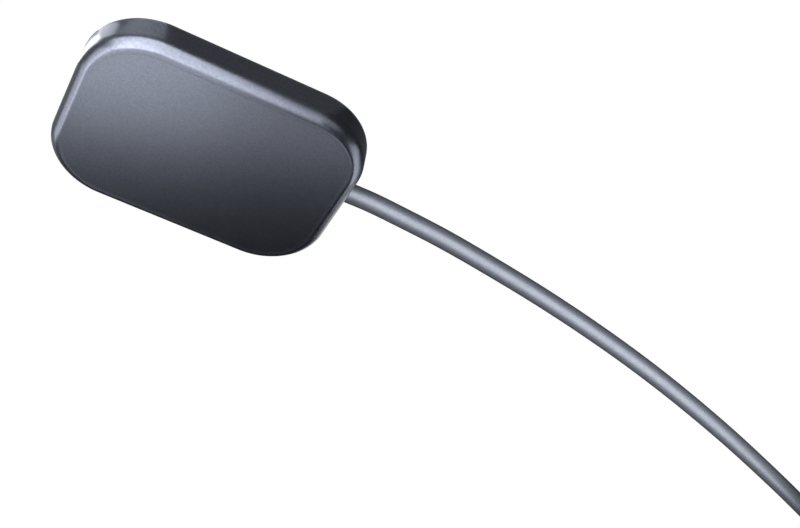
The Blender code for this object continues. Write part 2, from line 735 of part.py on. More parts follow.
def make_shell(plug, shell_back, mouth, mat):
    """Folded sheet with two latch windows through both broad sides."""
    rings = []
    for x, wall in ((shell_back, 0.0), (mouth, 0.0), (mouth, SHELL_WALL), (shell_back, SHELL_WALL)):
        outline = rounded_rectangle(
            SHELL_WIDTH - 2 * wall, SHELL_HEIGHT - 2 * wall, SHELL_CORNER - wall, (0.0, 0.0), EDGE_STEPS
        )
        rings.append([(x, y, z) for y, z in outline])
    shell = put_on_plug(loft("plug_shell", rings, mat, closed=True), plug)
    x = mouth - WINDOW_FROM_MOUTH
    half = WINDOW_SIDE / 2
    for number, side in enumerate((-1, 1), start=1):
        y = side * WINDOW_SPACING / 2
        low = (x - half, y - half, -SHELL_HEIGHT)
        window = block(f"window_tool_{number}", low, (x + half, y + half, SHELL_HEIGHT), mat)
        shape_with(shell, put_on_plug(window, plug), "DIFFERENCE")


def make_insulator(plug, shell_back, mouth, mats):
    """Block and tongue inside the shell, with the contacts on the tongue's free side."""
    half_width = SHELL_WIDTH / 2 - SHELL_WALL - INSERT_FIT
    half_height = SHELL_HEIGHT / 2 - SHELL_WALL - INSERT_FIT
    tip = mouth - TONGUE_FROM_MOUTH
    tongue_bottom = half_height - TONGUE_THICKNESS
    step_x = mouth - BLOCK_FROM_MOUTH
    side_view = [
        (shell_back, -half_height),
        (step_x, -half_height),
        (step_x, tongue_bottom),
        (tip, tongue_bottom),
        (tip, half_height),
        (shell_back, half_height),
    ]
    rings = [[(x, y, z) for x, z in side_view] for y in (-half_width, half_width)]
    put_on_plug(loft("plug_insulator", rings, mats["plug_insulator"]), plug)
    top = tongue_bottom - FIT
    for number, (y, length) in enumerate(CONTACTS, start=1):
        low = (tip - CONTACT_FROM_TIP - length, y - CONTACT_WIDTH / 2, top - CONTACT_THICKNESS)
        high = (tip - CONTACT_FROM_TIP, y + CONTACT_WIDTH / 2, top)
        put_on_plug(block(f"plug_contact_{number}", low, high, mats["plug_contact"]), plug)


def make_plug(mats):
    """The plug's pieces, along the X axis of an empty that places them."""
    plug = bpy.data.objects.new("plug", None)
    bpy.context.collection.objects.link(plug)
    plug.location = (*PLUG_PLACE, PLUG_Z)
    plug.rotation_euler = (0.0, 0.0, math.pi / 2)
    back = RELIEF_LENGTH + INSERT_FIT
    front = back + GRIP_LENGTH
    shell_back = front - SHELL_INSERTED
    mouth = front + SHELL_LENGTH
    make_relief(plug, mats["plug_relief"])
    make_grip(plug, back, front, mats["plug_grip"])
    make_shell(plug, shell_back, mouth, mats["plug_shell"])
    make_insulator(plug, shell_back, mouth, mats)


def make_materials():
    """One material for each kind of sub-part: colour, roughness and metallic."""
    table = {
        "housing": ((0.045, 0.050, 0.068), 0.36, 0.85),
        "rear_cover": ((0.040, 0.045, 0.060), 0.40, 0.85),
        "cover_seal": ((0.020, 0.020, 0.022), 0.70, 0.0),
        "cord_grommet": ((0.030, 0.032, 0.040), 0.60, 0.0),
        "cord_anchor": ((0.050, 0.052, 0.058), 0.55, 0.0),
        "front_foam": ((0.060, 0.060, 0.062), 0.95, 0.0),
        "scintillator": ((0.820, 0.840, 0.780), 0.45, 0.0),
        "fibre_optic_plate": ((0.120, 0.150, 0.160), 0.12, 0.0),
        "image_sensor": ((0.090, 0.080, 0.130), 0.18, 0.30),
        "sensor_carrier": ((0.780, 0.760, 0.720), 0.50, 0.0),
        "stack_frame": ((0.060, 0.062, 0.068), 0.50, 0.0),
        "radiation_shield": ((0.330, 0.330, 0.340), 0.45, 1.0),
        "circuit_board": ((0.015, 0.120, 0.045), 0.40, 0.0),
        "processor_chip": ((0.018, 0.018, 0.020), 0.50, 0.0),
        "memory_chip": ((0.022, 0.022, 0.024), 0.55, 0.0),
        "clock_crystal": ((0.680, 0.670, 0.640), 0.30, 1.0),
        "voltage_regulator": ((0.025, 0.025, 0.027), 0.50, 0.0),
        "capacitor": ((0.450, 0.330, 0.220), 0.50, 0.0),
        "thermal_pad": ((0.330, 0.400, 0.520), 0.85, 0.0),
        "wire_red": ((0.500, 0.020, 0.020), 0.45, 0.0),
        "wire_black": ((0.015, 0.015, 0.015), 0.45, 0.0),
        "wire_green": ((0.020, 0.300, 0.060), 0.45, 0.0),
        "wire_white": ((0.800, 0.800, 0.780), 0.45, 0.0),
        "lead_jacket": ((0.130, 0.140, 0.175), 0.42, 0.0),
        "coil_tie": ((0.020, 0.020, 0.022), 0.80, 0.0),
        "plug_relief": ((0.055, 0.058, 0.068), 0.50, 0.0),
        "plug_grip": ((0.055, 0.058, 0.068), 0.45, 0.0),
        "plug_shell": ((0.720, 0.720, 0.730), 0.25, 1.0),
        "plug_insulator": ((0.780, 0.780, 0.770), 0.45, 0.0),
        "plug_contact": ((0.850, 0.640, 0.260), 0.25, 1.0),
    }
    return {name: material(name, *values) for name, values in table.items()}


def main():
    clear_scene()
    mats = make_materials()
    make_housing(mats["housing"])
    make_rear_cover(mats["rear_cover"])
    make_cover_seal(mats["cover_seal"])
    make_grommet(mats["cord_grommet"])
    make_anchor(mats["cord_anchor"])
    make_layers(mats)
    make_board_parts(mats)
    make_wires(mats)
    make_leads(mats["lead_jacket"])
    make_coil(mats["lead_jacket"])
    make_tie(mats["coil_tie"])
    make_plug(mats)


main()
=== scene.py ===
"""Intraoral x-ray sensor with its lead: finer shapes, materials, light and camera.

The scene is in metres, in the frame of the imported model: the sensor lies face up with its outline
centred on the origin, and its lead leaves towards +X. The part's sizes and its lights' places are
given in millimetres.
"""

import math

import bmesh
import bpy
from mathutils import Matrix, Vector


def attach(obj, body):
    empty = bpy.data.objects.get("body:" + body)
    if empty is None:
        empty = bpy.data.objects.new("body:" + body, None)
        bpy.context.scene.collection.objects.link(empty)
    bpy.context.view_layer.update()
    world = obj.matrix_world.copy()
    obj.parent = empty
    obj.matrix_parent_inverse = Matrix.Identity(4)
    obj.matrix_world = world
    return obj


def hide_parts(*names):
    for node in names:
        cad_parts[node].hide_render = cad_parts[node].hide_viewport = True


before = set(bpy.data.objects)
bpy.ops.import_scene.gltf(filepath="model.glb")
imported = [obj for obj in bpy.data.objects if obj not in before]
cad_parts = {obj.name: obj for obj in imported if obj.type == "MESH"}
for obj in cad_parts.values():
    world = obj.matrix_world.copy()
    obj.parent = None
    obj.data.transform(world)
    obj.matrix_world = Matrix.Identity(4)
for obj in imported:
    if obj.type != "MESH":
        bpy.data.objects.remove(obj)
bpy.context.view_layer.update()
MM = 0.001
scene = bpy.context.scene

# Camera, solved from the sensor's outline in the photograph
RIGHT = (0.89133, 0.43793, -0.11723)
UP = (-0.37415, 0.56458, -0.7357)
BACK = (-0.256, 0.69962, 0.66708)
EYE = (-0.021, 0.143761, 0.148781)
camera_data = bpy.data.cameras.new("camera")
camera_data.sensor_width = 36.0
camera_data.lens = 63.749
camera_data.clip_start = 0.01
camera_data.clip_end = 5.0
camera = bpy.data.objects.new("camera", camera_data)
scene.collection.objects.link(camera)
turn = Matrix((RIGHT, UP, BACK)).transposed().to_4x4()
camera.matrix_world = Matrix.Translation(EYE) @ turn
scene.camera = camera
scene.view_settings.view_transform = "Standard"

# Sizes of the body: outline, edges, the sunk flat of the face, and the tub's inside
LENGTH, WIDTH, CORNER = 42.0, 32.3, 9.8
FACE_Z, BACK_Z = 7.8, 1.9
EDGE_ACROSS, EDGE_DOWN, BACK_EDGE = 1.68, 2.05, 1.3
FACE_SUNK, RISE_ACROSS = 0.012, 0.5
FLAT_INSET = EDGE_ACROSS + RISE_ACROSS
WALL, INSIDE_Z = 2.1, 7.1
LEDGE_INSET, LEDGE_Z = 1.5, 3.05

# Sizes of the cover: plate, hump, hollow, the anchor's seat, the nose, its notch and its mouth
COVER_INSET, COVER_TOP_Z = 1.55, 2.7
HUMP_X, HUMP_LENGTH, HUMP_WIDTH, HUMP_CORNER, HUMP_EDGE = 3.15, 30.3, 21.5, 6.0, 0.8
HUMP_TOP_Z = 2.3
HOLLOW_X, HOLLOW_LENGTH, HOLLOW_WIDTH, HOLLOW_CORNER, HOLLOW_Z = 1.7, 25.0, 19.1, 4.8, 0.7
SEAT_X, SEAT_END_X, SEAT_HALF = 13.8, 17.1, 3.1
HEADROOM_END_X, HEADROOM_HALF = 18.85, 5.0
NOSE_X, NOSE_END_X, NOSE_HALF, NOSE_FOOT = 17.5, 21.0, 2.5, 0.6
NOTCH_X, NOTCH_HALF = 18.3, 2.6
PAST_NOSE_X = 21.6
BORE_X, MOUTH_X, MOUTH_RADIUS = 16.5, 19.05, 2.0

# Sizes of the lead, its coil and its tie
LEAD, LEAD_Z, LEAD_STEP = 3.1, 2.4, 1.2
COIL_X, COIL_Y, COIL_R, COIL_PITCH, COIL_LOW_Z = 150.3, -13.6, 18.0, 3.2, 2.15
BUNDLE_Z, BUNDLE_CORNER = 6.95, 1.6
TIE_THICK, TIE_ANGLE, TIE_SWEEP = 0.5, 120.0, 24.0
SLACK = 0.1

# Sizes of the plug: place, relief, grip and folded case
PLUG_X, PLUG_Y, PLUG_Z = 182.5, -17.0, 3.9
RELIEF_BORE, RELIEF_START, RELIEF_END, RELIEF_LENGTH = 1.6, 2.3, 2.9, 9.0
RIB_PITCH, RIB_GROWTH, RIB_GROOVE = 1.8, 0.12, 0.35
GRIP_X, GRIP_END_X, GRIP_WIDTH, GRIP_HEIGHT, GRIP_CORNER = 9.1, 33.1, 15.6, 7.8, 2.2
SHOULDER, SHOULDER_WIDTH, SHOULDER_HEIGHT, GRIP_EASE = 4.0, 6.4, 1.8, 0.5
HOLE_X, HOLE_END_X, HOLE_WIDTH, HOLE_HEIGHT, HOLE_CORNER = 29.0, 37.1, 12.2, 4.7, 0.6
CASE_X, CASE_END_X, CASE_WIDTH, CASE_HEIGHT, CASE_CORNER = 29.1, 51.85, 12.0, 4.5, 0.5
CASE_SHEET = 0.3
WINDOW_X, WINDOW_END_X, WINDOW_Y, WINDOW_HALF = 44.3, 46.6, 2.7, 1.15

# The lead's way from the body to the coil, and from the coil to the plug
ROUTE = (
    (17.1, 0.0, 2.4),
    (21.0, 0.0, 2.4),
    (25.5, 0.0, 2.35),
    (31.0, -0.6, 2.12),
    (38.7, -1.7, 1.75),
    (47.8, -3.3, 1.55),
    (57.5, -5.1, 1.55),
    (67.6, -7.4, 1.55),
    (78.7, -10.4, 1.55),
    (90.5, -14.2, 1.55),
    (103.8, -19.1, 1.55),
    (118.5, -25.2, 1.55),
    (129.0, -29.9, 1.55),
    (136.0, -32.7, 1.65),
    (142.5, -35.0, 2.15),
)
TAIL = (
    (150.3, -36.4, 11.75),
    (157.0, -36.5, 11.6),
    (164.5, -36.3, 10.4),
    (171.6, -35.3, 8.4),
    (177.2, -32.2, 6.3),
    (181.0, -27.4, 4.7),
    (182.4, -21.8, 3.95),
    (182.5, -17.0, 3.9),
    (182.5, -8.1, 3.9),
)


# The lead


def smooth_points(route, step):
    """Points on a smooth curve through the route's points, about a step apart."""
    knots = [Vector(point) for point in route]
    knots = [2 * knots[0] - knots[1], *knots, 2 * knots[-1] - knots[-2]]
    points = []
    for before, start, end, after in zip(knots, knots[1:], knots[2:], knots[3:]):
        count = max(2, round((end - start).length / step))
        for k in range(count):
            t = k / count
            points.append(
                0.5
                * (
                    2 * start
                    + (end - before) * t
                    + (2 * before - 5 * start + 4 * end - after) * t**2
                    + (3 * start - before - 3 * end + after) * t**3
                )
            )
    points.append(knots[-2])
    return points


def eased(t):
    """Number from 0 to 1 that starts and ends gently."""
    t = min(1.0, max(0.0, t))
    return t * t * (3 - 2 * t)


def coil_points():
    """Four layers of turns, in and out in turn, that step over or up in a quarter turn each.

    Angles are in degrees about the coil's centre.
    """
    start, end, full_turn, quarter_turn, layer = -110.0, 4950.0, 360, 90, 1260
    steps_over = []
    for number in range(4):
        side = 1 if number % 2 else -1
        steps_over += [(160 + layer * number + full_turn * k, side) for k in range(3)]
    steps_up = [1150 + layer * number for number in range(3)]
    count = 690
    points = []
    for k in range(1, count):
        angle = start + (end - start) * k / count
        over = sum(side * eased((angle - at) / quarter_turn) for at, side in steps_over)
        up = sum(eased((angle - at) / quarter_turn) for at in steps_up)
        radius = COIL_R + COIL_PITCH * (1.5 + over)
        turn_angle = math.radians(angle)
        points.append(
            Vector(
                (
                    COIL_X + radius * math.cos(turn_angle),
                    COIL_Y + radius * math.sin(turn_angle),
                    COIL_LOW_Z + COIL_PITCH * up,
                )
            )
        )
    return points


lead_line = [
    point * MM
    for points in (smooth_points(ROUTE, LEAD_STEP), coil_points(), smooth_points(TAIL, LEAD_STEP))
    for point in points
]


def skin(bm, low, high):
    """Faces between two rings of as many points."""
    for i in range(len(low)):
        j = (i + 1) % len(low)
        bm.faces.new((low[i], low[j], high[j], high[i]))


def object_of(bm, name, sharp):
    """Smooth-shaded object of a finished mesh, with edges above an angle kept sharp."""
    bmesh.ops.recalc_face_normals(bm, faces=bm.faces)
    mesh = bpy.data.meshes.new(name)
    bm.to_mesh(mesh)
    bm.free()
    mesh.shade_smooth()
    mesh.set_sharp_from_angle(angle=math.radians(sharp))
    obj = bpy.data.objects.new(name, mesh)
    scene.collection.objects.link(obj)
    return obj


def tube(name, line, radius, sides=20):
    """Round closed tube along a line of points, with its frame turned as little as possible."""
    bm = bmesh.new()
    rings = []
    side = Vector((0.0, 0.0, 1.0))
    for k, point in enumerate(line):
        along = (line[min(k + 1, len(line) - 1)] - line[max(k - 1, 0)]).normalized()
        side = (side - along * side.dot(along)).normalized()
        over = along.cross(side)
        ring = []
        for step in range(sides):
            angle = 2 * math.pi * step / sides
            out = side * math.cos(angle) + over * math.sin(angle)
            ring.append(bm.verts.new(point + out * radius))
        rings.append(ring)
    for low, high in zip(rings, rings[1:]):
        skin(bm, low, high)
    bm.faces.new(rings[0][::-1])
    bm.faces.new(rings[-1])
    return object_of(bm, name, 60.0)


lead = tube("lead", lead_line, LEAD / 2 * MM)
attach(lead, "root")
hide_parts("sensor_cable", "cable_coil", "plug_lead")


# Shapes of the other pieces, with edges above SHARP degrees kept sharp
SHARP = 40.0


def outline(length, width, radius, centre=(0.0, 0.0), steps=24):
    """Rounded rectangle, counter-clockwise, in millimetres."""
    points = []
    for corner, (side_x, side_y) in enumerate(((1, 1), (-1, 1), (-1, -1), (1, -1))):
        middle_x = centre[0] + side_x * (length / 2 - radius)
        middle_y = centre[1] + side_y * (width / 2 - radius)
        for k in range(steps + 1):
            angle = (corner + k / steps) * math.pi / 2
            x = middle_x + radius * math.cos(angle)
            y = middle_y + radius * math.sin(angle)
            points.append((x, y))
    return points


def quarter(steps):
    """Sine and cosine of angles from nothing to a quarter turn."""
    angles = [k / steps * math.pi / 2 for k in range(steps + 1)]
    return [(math.sin(angle), math.cos(angle)) for angle in angles]


def shell(name, rings, mat, closed=False):
    """Solid through rings of points in millimetres, smooth-shaded but for its sharp edges."""
    bm = bmesh.new()
    rows = [[bm.verts.new(Vector(point) * MM) for point in ring] for ring in rings]
    pairs = list(zip(rows, rows[1:]))
    if closed:
        pairs.append((rows[-1], rows[0]))
    else:
        bm.faces.new(rows[0][::-1])
        bm.faces.new(rows[-1])
    for low, high in pairs:
        skin(bm, low, high)
    obj = object_of(bm, name, SHARP)
    obj.data.materials.append(mat)
    return obj


def along_x(name, sections, mat):
    """Solid through outlines in y and z, each at its own x."""
    return shell(name, [[(x, y, z) for y, z in section] for x, section in sections], mat)


def cut(obj, tool, operation="DIFFERENCE"):
    """Applies a Boolean and removes its tool."""
    change = obj.modifiers.new("cut", "BOOLEAN")
    change.operation = operation
    change.solver = "EXACT"
    change.object = tool
    bpy.context.view_layer.update()
    changed = obj.evaluated_get(bpy.context.evaluated_depsgraph_get())
    made = bpy.data.meshes.new_from_object(changed)
    obj.modifiers.clear()
    obj.data = made
    bpy.data.objects.remove(tool, do_unlink=True)
    made.set_sharp_from_angle(angle=math.radians(SHARP))


def dress(obj, node):
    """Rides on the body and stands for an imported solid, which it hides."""
    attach(obj, "root")
    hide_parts(node)
    return obj


# Materials, with noise from PATTERN_LOW to PATTERN_HIGH spread over their colours and roughness,
# and relief BUMP_DEPTH metres deep at full strength
PATTERN_LOW, PATTERN_HIGH = 0.3, 0.7
BUMP_DEPTH = 0.00002


def node_material(name):
    """New material, with its node tree and its shader."""
    made = bpy.data.materials.new(name)
    made.use_nodes = True
    tree = made.node_tree
    return made, tree, tree.nodes["Principled BSDF"]


def add(tree, kind, **inputs):
    """New node with the given values on its inputs."""
    node = tree.nodes.new(kind)
    for key, value in inputs.items():
        node.inputs[key].default_value = value
    return node


def noise(tree, scale, detail=3.0, roughness=0.6):
    """Noise in the piece's own space, so many grains to the metre."""
    node = add(tree, "ShaderNodeTexNoise", Scale=scale, Detail=detail, Roughness=roughness)
    place = tree.nodes.new("ShaderNodeTexCoord")
    tree.links.new(place.outputs["Object"], node.inputs["Vector"])
    return node.outputs["Fac"]


def ramp(tree, source, low, high):
    """Colour that runs from low to high with a pattern."""
    node = tree.nodes.new("ShaderNodeValToRGB")
    node.color_ramp.elements[0].position = PATTERN_LOW
    node.color_ramp.elements[1].position = PATTERN_HIGH
    node.color_ramp.elements[0].color = (*low, 1.0)
    node.color_ramp.elements[1].color = (*high, 1.0)
    tree.links.new(source, node.inputs["Fac"])
    return node.outputs["Color"]


def spread(tree, source, low, high):
    """Number that runs from low to high with a pattern."""
    node = tree.nodes.new("ShaderNodeMapRange")
    node.inputs["From Min"].default_value = PATTERN_LOW
    node.inputs["From Max"].default_value = PATTERN_HIGH
    node.inputs["To Min"].default_value = low
    node.inputs["To Max"].default_value = high
    tree.links.new(source, node.inputs["Value"])
    return node.outputs["Result"]


def bump(tree, shader, source, strength):
    """Fine relief that follows a pattern."""
    node = add(tree, "ShaderNodeBump", Strength=strength, Distance=BUMP_DEPTH)
    tree.links.new(source, node.inputs["Height"])
    tree.links.new(node.outputs["Normal"], shader.inputs["Normal"])


def surface(name, low, high, roughness, grain, metallic=0.0, bumps=0.2):
    """Even material with a grain in its colour, its roughness and its relief."""
    made, tree, shader = node_material(name)
    shader.inputs["Metallic"].default_value = metallic
    pattern = noise(tree, grain)
    tree.links.new(ramp(tree, pattern, low, high), shader.inputs["Base Color"])
    rough = spread(tree, noise(tree, grain * 0.35), roughness - 0.04, roughness + 0.05)
    tree.links.new(rough, shader.inputs["Roughness"])
    bump(tree, shader, pattern, bumps)
    return made


def body_material(name, grain=2600.0, roughness=(0.27, 0.31), bumps=0.03):
    """Dark blue-grey satin metal with a fine speckle."""
    made, tree, shader = node_material(name)
    shader.inputs["Metallic"].default_value = 1.0
    speckle = noise(tree, grain, 2.0, 0.55)
    drift = noise(tree, 260.0, 2.0)
    low, high = (0.072, 0.077, 0.093), (0.093, 0.099, 0.120)
    tree.links.new(ramp(tree, speckle, low, high), shader.inputs["Base Color"])
    tree.links.new(spread(tree, drift, *roughness), shader.inputs["Roughness"])
    bump(tree, shader, speckle, bumps)
    return made


housing_mat = body_material("housing_edge")
face_mat = body_material("housing_face", grain=5200.0, roughness=(0.283, 0.297), bumps=0.04)
cover_mat = body_material("cover")
jacket_low, jacket_high = (0.120, 0.130, 0.160), (0.140, 0.150, 0.185)
lead_mat = surface("jacket", jacket_low, jacket_high, 0.50, 2600.0, metallic=0.7, bumps=0.05)
lead.data.materials.append(lead_mat)


# Housing: the tub and its face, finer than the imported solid


def body_ring(inset, z):
    """Outline of the body, so far inside its sides and at a height."""
    points = outline(LENGTH - 2 * inset, WIDTH - 2 * inset, CORNER - inset)
    return [(x, y, z) for x, y in points]


def face_edge():
    """Places across and down from the face, turning fast, then slowly, then fast again.

    Each stretch has its share of the length, and the tilt at its start and end in degrees.
    """
    across, down, parts = 0.0, 0.0, 8
    places = [(across, down)]
    for length, start, end in ((0.60, 0.0, 35.0), (1.13, 35.0, 56.0), (1.06, 56.0, 90.0)):
        for k in range(parts):
            tilt = math.radians(start + (end - start) * (k + 0.5) / parts)
            across += length / parts * math.cos(tilt)
            down += length / parts * math.sin(tilt)
            places.append((across, down))
    return [(EDGE_ACROSS * a / across, EDGE_DOWN * d / down) for a, d in places]


profile = [(FLAT_INSET, INSIDE_Z)]
for step in range(8):
    rise = eased(step / 8)
    inset = EDGE_ACROSS + RISE_ACROSS * (1 - step / 8)
    profile.append((inset, FACE_Z - FACE_SUNK * (1 - rise)))
profile += [(EDGE_ACROSS - across, FACE_Z - down) for across, down in face_edge()]
for sine, cosine in quarter(10):
    profile.append((BACK_EDGE * (1 - cosine), BACK_Z + BACK_EDGE * (1 - sine)))
profile += [(LEDGE_INSET, BACK_Z), (LEDGE_INSET, LEDGE_Z), (WALL, LEDGE_Z), (WALL, INSIDE_Z)]
tub = shell("tub", [body_ring(*place) for place in profile], housing_mat, closed=True)
tub.data.materials.append(face_mat)


def nose_outline(half):
    """Arch about the lead's axis over two rounded feet, in y and z."""
    points = []
    for k in range(49):
        angle = math.pi * k / 48
        points.append((half * math.cos(angle), LEAD_Z + half * math.sin(angle)))
    for sine, cosine in quarter(8):
        points.append((-half + NOSE_FOOT * (1 - cosine), NOSE_FOOT * (1 - sine)))
    for sine, cosine in quarter(8):
        points.append((half - NOSE_FOOT * (1 - sine), NOSE_FOOT * (1 - cosine)))
    return points


notch = nose_outline(NOTCH_HALF)
cut(tub, along_x("notch", [(NOTCH_X, notch), (PAST_NOSE_X, notch)], housing_mat))

# The rise to the edge has the finish of the flat
for polygon in tub.data.polygons:
    if polygon.normal.z > 0.995 and polygon.center.z > (FACE_Z - 1.1 * FACE_SUNK) * MM:
        polygon.material_index = 1
dress(tub, "housing")

# The flat of the face closes the tub without a seam
flat_rings = [body_ring(FLAT_INSET, z) for z in (INSIDE_Z, FACE_Z - FACE_SUNK)]
face = dress(shell("face", flat_rings, face_mat), "housing")

# Rear cover: plate, hump and nose, hollowed for the board, the anchor and the lead


def hump_ring(inset, z):
    """Outline of the hump, so far inside its sides and at a height."""
    sides = HUMP_LENGTH - 2 * inset, HUMP_WIDTH - 2 * inset
    points = outline(*sides, HUMP_CORNER - inset, (HUMP_X, 0.0))
    return [(x, y, z) for x, y in points]


def box_between(name, low, high):
    """Box between two corners, to cut with."""
    ring = [(low[0], low[1]), (high[0], low[1]), (high[0], high[1]), (low[0], high[1])]
    return shell(name, [[(x, y, z) for x, y in ring] for z in (low[2], high[2])], cover_mat)


def bore(name, radius, low_x, high_x):
    """Round tool on the lead's axis."""
    angles = [2 * math.pi * k / 64 for k in range(64)]
    ring = [(radius * math.cos(a), LEAD_Z + radius * math.sin(a)) for a in angles]
    return along_x(name, [(low_x, ring), (high_x, ring)], cover_mat)


plate_rings = [body_ring(COVER_INSET, z) for z in (BACK_Z, COVER_TOP_Z)]
cover = shell("cover", plate_rings, cover_mat)
rings = []
for sine, cosine in quarter(10):
    rings.append(hump_ring(HUMP_EDGE * (1 - sine), HUMP_EDGE * (1 - cosine)))
cut(cover, shell("hump", [*rings, hump_ring(0.0, HUMP_TOP_Z)], cover_mat), "UNION")
arch = nose_outline(NOSE_HALF)
cut(cover, along_x("nose", [(NOSE_X, arch), (NOSE_END_X, arch)], cover_mat), "UNION")
pocket = outline(HOLLOW_LENGTH, HOLLOW_WIDTH, HOLLOW_CORNER, (HOLLOW_X, 0.0), 8)
low, high = (SEAT_END_X, -HEADROOM_HALF, COVER_TOP_Z), (HEADROOM_END_X, HEADROOM_HALF, FACE_Z)
cut(cover, box_between("headroom", low, high))
pocket_rings = [[(x, y, z) for x, y in pocket] for z in (HOLLOW_Z, LEDGE_Z)]
cut(cover, shell("pocket", pocket_rings, cover_mat))
low, high = (SEAT_X, -SEAT_HALF, HOLLOW_Z), (SEAT_END_X, SEAT_HALF, LEDGE_Z)
cut(cover, box_between("seat", low, high))
cut(cover, bore("bore", LEAD / 2 + SLACK, BORE_X, NOSE_END_X))
cut(cover, bore("mouth", MOUTH_RADIUS, MOUTH_X, PAST_NOSE_X))
dress(cover, "rear_cover")

# Tie round the bundle of turns
tie_mat = surface("tie", (0.012, 0.012, 0.014), (0.032, 0.032, 0.035), 0.85, 5000.0, bumps=0.6)


def tie_rings(grow, sweep):
    """Outlines round the bundle, at angles about the coil's centre."""
    half = (3 * COIL_PITCH + LEAD) / 2 + SLACK + grow
    section = outline(2 * half, 2 * half, BUNDLE_CORNER + grow, (COIL_R, BUNDLE_Z), 10)
    rings = []
    for k in range(13):
        angle = math.radians(TIE_ANGLE + (k / 12 - 0.5) * sweep)
        along = math.cos(angle), math.sin(angle)
        rings.append([(COIL_X + r * along[0], COIL_Y + r * along[1], z) for r, z in section])
    return rings


tie = shell("tie", tie_rings(TIE_THICK, TIE_SWEEP), tie_mat)
cut(tie, shell("tie_inside", tie_rings(0.0, 1.5 * TIE_SWEEP), tie_mat))
dress(tie, "coil_tie")

# Plug, along its own axis from the back of its relief
relief_mat = surface("relief", (0.045, 0.048, 0.058), (0.065, 0.068, 0.078), 0.5, 1500.0)
grip_mat = surface("grip", (0.045, 0.048, 0.058), (0.065, 0.068, 0.078), 0.45, 2200.0)
nickel_mat = surface("nickel", (0.68, 0.68, 0.69), (0.76, 0.76, 0.77), 0.25, 600.0, 1.0)


def on_plug(x, y, z):
    """Point in the scene, from its place along, across and above the plug's axis."""
    return (PLUG_X - y, PLUG_Y + x, PLUG_Z + z)


def plug_outline(x, width, height, radius):
    """Rounded rectangle across the plug's axis."""
    return [on_plug(x, y, z) for y, z in outline(width, height, radius, steps=10)]


def relief_rings(sides=64):
    """Sections of a sleeve whose five ribs widen towards the grip."""
    section = [(RELIEF_BORE, 0.0)]
    for k in range(5):
        low, high = RELIEF_START + RIB_GROWTH * k, RELIEF_START + RIB_GROWTH * (k + 1)
        groove = high - RIB_GROOVE
        section += [(low, RIB_PITCH * k), (high, RIB_PITCH * (k + 0.65))]
        section += [(groove, RIB_PITCH * (k + 0.7)), (groove, RIB_PITCH * (k + 0.95))]
    section += [(RELIEF_END, RELIEF_LENGTH), (RELIEF_BORE, RELIEF_LENGTH)]
    rings = []
    for k in range(sides):
        angle = 2 * math.pi * k / sides
        rings.append([on_plug(x, r * math.cos(angle), r * math.sin(angle)) for r, x in section])
    return rings


def grip_rings():
    """Outlines along the grip: a rounded shoulder at the relief, an eased edge at the case."""
    rings = []
    for k, (sine, _) in enumerate(quarter(12)):
        width = GRIP_WIDTH - SHOULDER_WIDTH * (1 - sine)
        height = GRIP_HEIGHT - SHOULDER_HEIGHT * (1 - sine)
        rings.append(plug_outline(GRIP_X + SHOULDER * k / 12, width, height, GRIP_CORNER))
    for sine, cosine in quarter(8):
        inset = GRIP_EASE * (1 - cosine)
        width, height = GRIP_WIDTH - 2 * inset, GRIP_HEIGHT - 2 * inset
        x = GRIP_END_X - GRIP_EASE * (1 - sine)
        rings.append(plug_outline(x, width, height, GRIP_CORNER - inset))
    return rings


def case_ring(x, inset):
    """Outline of the folded case, so far inside its outer faces."""
    width, height = CASE_WIDTH - 2 * inset, CASE_HEIGHT - 2 * inset
    return plug_outline(x, width, height, CASE_CORNER - inset)


relief = shell("relief", relief_rings(), relief_mat, closed=True)
dress(relief, "plug_relief")

grip = shell("grip", grip_rings(), grip_mat)
hole = HOLE_WIDTH, HOLE_HEIGHT, HOLE_CORNER
hole_rings = [plug_outline(x, *hole) for x in (HOLE_X, HOLE_END_X)]
cut(grip, shell("grip_hole", hole_rings, grip_mat))
dress(grip, "plug_grip")

case_rings = [case_ring(x, 0.0) for x in (CASE_X, CASE_END_X)]
case_rings += [case_ring(x, CASE_SHEET) for x in (CASE_END_X, CASE_X)]
plug_case = shell("plug_case", case_rings, nickel_mat, closed=True)
for number, middle in enumerate((-WINDOW_Y, WINDOW_Y), start=1):
    low, high = middle - WINDOW_HALF, middle + WINDOW_HALF
    window = [(low, -CASE_HEIGHT), (high, -CASE_HEIGHT), (high, CASE_HEIGHT), (low, CASE_HEIGHT)]
    sides = [[on_plug(x, y, z) for y, z in window] for x in (WINDOW_X, WINDOW_END_X)]
    cut(plug_case, shell(f"window_{number}", sides, nickel_mat))
dress(plug_case, "plug_shell")

